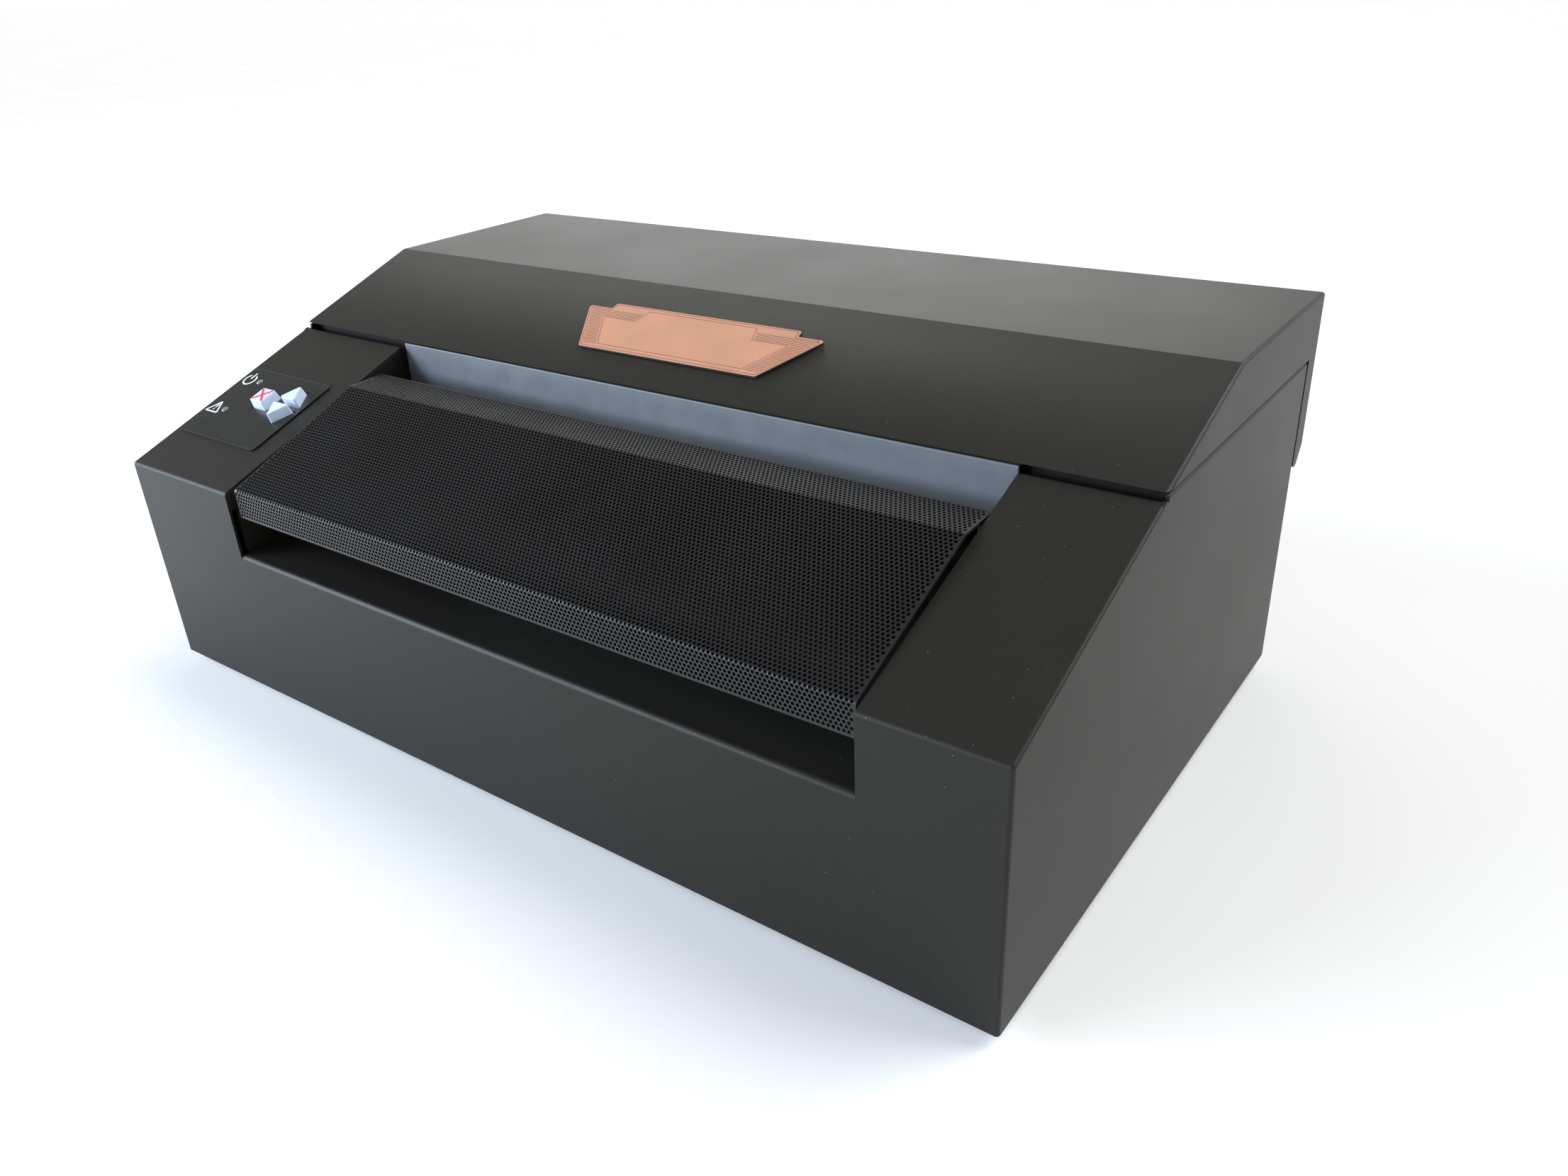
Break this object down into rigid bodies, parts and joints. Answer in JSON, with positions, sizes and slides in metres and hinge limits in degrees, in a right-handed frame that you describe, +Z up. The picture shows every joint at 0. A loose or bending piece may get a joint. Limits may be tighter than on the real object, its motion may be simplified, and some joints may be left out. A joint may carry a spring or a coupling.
{
  "type": "braille embosser",
  "caption": "Desktop braille embosser: folded steel case with sloped front, hinged lid, hinged perforated paper cover, control panel, travelling embossing head and pin tractor feed.",
  "frame": {"origin": "middle of the footprint, on the surface the machine stands on", "axes": "+X runs along the width, from the control panel's side to the other as seen from the front; +Y points to the rear, where the paper goes in; +Z is up. The front face looks towards -Y."},
  "size_m": [0.57, 0.3572, 0.2187],
  "materials": {
    "black_paint": "fine textured black powder coat",
    "black_cover": "smooth satin black paint on perforated steel sheet",
    "copper": "satin copper-coloured metallic",
    "overlay_film": "semi-gloss dark printed film",
    "key_plastic": "satin pale blue moulded plastic",
    "lamp_lens": "smoky translucent lens, unlit",
    "zinc_steel": "zinc-plated sheet",
    "bright_steel": "ground bright steel",
    "black_plastic": "moulded black plastic",
    "grey_plastic": "moulded grey plastic",
    "rubber": "matt black rubber",
    "board_green": "green solder-masked laminate",
    "gear_nylon": "natural nylon",
    "aluminium": "mill-finish aluminium"
  },
  "bodies": {
    "chassis": {"case_body": "black_paint", "base_pan": "zinc_steel", "foot_front_left": "rubber", "foot_front_right": "rubber", "foot_rear_left": "rubber", "foot_rear_right": "rubber", "side_frame_left": "black_paint", "side_frame_right": "black_paint", "exit_ramp": "black_paint", "anvil_bar": "bright_steel", "infeed_trough": "zinc_steel", "guide_rod_front": "bright_steel", "guide_rod_rear": "bright_steel", "tractor_support_shaft": "bright_steel", "carriage_belt": "rubber", "carriage_motor": "black_plastic", "motor_bracket": "zinc_steel", "idler_bracket": "zinc_steel", "feed_motor": "black_plastic", "control_overlay": "overlay_film", "key_board": "board_green", "power_lamp": "lamp_lens", "alert_lamp": "lamp_lens", "power_supply": "aluminium", "control_board": "board_green", "fan_frame": "black_plastic", "power_inlet": "black_plastic", "data_port": "zinc_steel", "hinge_bracket_left": "bright_steel", "hinge_bracket_right": "bright_steel", "cover_pin_left": "bright_steel", "cover_pin_right": "bright_steel"},
    "lid": {"lid_shell": "black_paint", "lid_front_panel": "black_paint", "badge_plate": "copper", "hinge_pin_left": "bright_steel", "hinge_pin_right": "bright_steel"},
    "cover": {"perforated_cover": "black_cover"},
    "cancel": {"cancel_key": "key_plastic"},
    "feed": {"feed_key": "key_plastic"},
    "pause": {"pause_key": "key_plastic"},
    "carriage": {"head_carriage": "grey_plastic", "hammer_head": "bright_steel", "belt_clamp": "zinc_steel"},
    "drive_pulley": {"motor_pulley": "aluminium"},
    "return_pulley": {"idler_pulley": "aluminium"},
    "feed_drive": {"feed_shaft": "bright_steel", "feed_gear": "gear_nylon"},
    "pinion": {"feed_pinion": "bright_steel"},
    "tractor_left": {"tractor_frame_left": "black_plastic", "tractor_belt_left": "rubber"},
    "tractor_right": {"tractor_frame_right": "black_plastic", "tractor_belt_right": "rubber"},
    "sprocket_left": {"tractor_sprocket_left": "grey_plastic"},
    "sprocket_right": {"tractor_sprocket_right": "grey_plastic"},
    "door_left": {"tractor_door_left": "grey_plastic"},
    "door_right": {"tractor_door_right": "grey_plastic"},
    "fan": {"fan_rotor": "black_plastic"},
    "rocker": {"power_switch": "black_plastic"}
  },
  "joints": [
    {"name": "lid_hinge", "type": "hinge", "parent": "chassis", "child": "lid", "pos_m": [0, 0.1677, 0.1283], "axis": [-1, 0, 0], "range_deg": [0, 100]},
    {"name": "cover_hinge", "type": "hinge", "parent": "chassis", "child": "cover", "pos_m": [0, -0.0746, 0.16292], "axis": [-1, 0, 0], "range_deg": [0, 105]},
    {"name": "cancel_key_press", "type": "slide", "parent": "chassis", "child": "cancel", "axis": [0, 0.3502, -0.9367], "range_m": [0, 0.0015], "stiffness_N_per_m": 400, "springref_m": -0.001},
    {"name": "feed_key_press", "type": "slide", "parent": "chassis", "child": "feed", "axis": [0, 0.3502, -0.9367], "range_m": [0, 0.0015], "stiffness_N_per_m": 400, "springref_m": -0.001},
    {"name": "pause_key_press", "type": "slide", "parent": "chassis", "child": "pause", "axis": [0, 0.3502, -0.9367], "range_m": [0, 0.0015], "stiffness_N_per_m": 400, "springref_m": -0.001},
    {"name": "carriage_slide", "type": "slide", "parent": "chassis", "child": "carriage", "axis": [1, 0, 0], "range_m": [0, 0.336]},
    {"name": "motor_pulley_spin", "type": "hinge", "parent": "chassis", "child": "drive_pulley", "pos_m": [0.2511, 0.0544, 0.174], "axis": [0, 1, 0], "range_deg": [-2410, 0]},
    {"name": "idler_pulley_spin", "type": "hinge", "parent": "chassis", "child": "return_pulley", "pos_m": [-0.173, 0.0544, 0.174], "axis": [0, 1, 0], "range_deg": [-2410, 0]},
    {"name": "feed_shaft_spin", "type": "hinge", "parent": "chassis", "child": "feed_drive", "pos_m": [0, 0.1114, 0.1275], "axis": [1, 0, 0], "continuous": true},
    {"name": "feed_pinion_spin", "type": "hinge", "parent": "chassis", "child": "pinion", "pos_m": [0.2269, 0.08456, 0.08771], "axis": [1, 0, 0], "continuous": true},
    {"name": "tractor_left_slide", "type": "slide", "parent": "chassis", "child": "tractor_left", "axis": [1, 0, 0], "range_m": [0, 0.06]},
    {"name": "tractor_right_slide", "type": "slide", "parent": "chassis", "child": "tractor_right", "axis": [1, 0, 0], "range_m": [-0.25, 0]},
    {"name": "sprocket_left_spin", "type": "hinge", "parent": "tractor_left", "child": "sprocket_left", "pos_m": [-0.1731, 0.1114, 0.1275], "axis": [1, 0, 0], "continuous": true},
    {"name": "sprocket_right_spin", "type": "hinge", "parent": "tractor_right", "child": "sprocket_right", "pos_m": [0.2046, 0.1114, 0.1275], "axis": [1, 0, 0], "continuous": true},
    {"name": "door_left_hinge", "type": "hinge", "parent": "tractor_left", "child": "door_left", "pos_m": [-0.1811, 0.0924, 0.1416], "axis": [0, -1, 0], "range_deg": [0, 90]},
    {"name": "door_right_hinge", "type": "hinge", "parent": "tractor_right", "child": "door_right", "pos_m": [0.2126, 0.0924, 0.1416], "axis": [0, 1, 0], "range_deg": [0, 90]},
    {"name": "fan_spin", "type": "hinge", "parent": "chassis", "child": "fan", "pos_m": [-0.237, 0.15595, 0.07364], "axis": [0, 0.9993, 0.0368], "continuous": true},
    {"name": "power_switch_rock", "type": "hinge", "parent": "chassis", "child": "rocker", "pos_m": [0.254, 0.16414, 0.06593], "axis": [0, -0.0368, 0.9993], "range_deg": [0, 11.5]}
  ],
  "couplings": [
    {"joint": "motor_pulley_spin", "follows": "carriage_slide", "rad_per_m": -125},
    {"joint": "idler_pulley_spin", "follows": "carriage_slide", "rad_per_m": -125},
    {"joint": "feed_pinion_spin", "follows": "feed_shaft_spin", "ratio": -3},
    {"joint": "sprocket_left_spin", "follows": "feed_shaft_spin", "ratio": 1},
    {"joint": "sprocket_right_spin", "follows": "feed_shaft_spin", "ratio": 1}
  ]
}
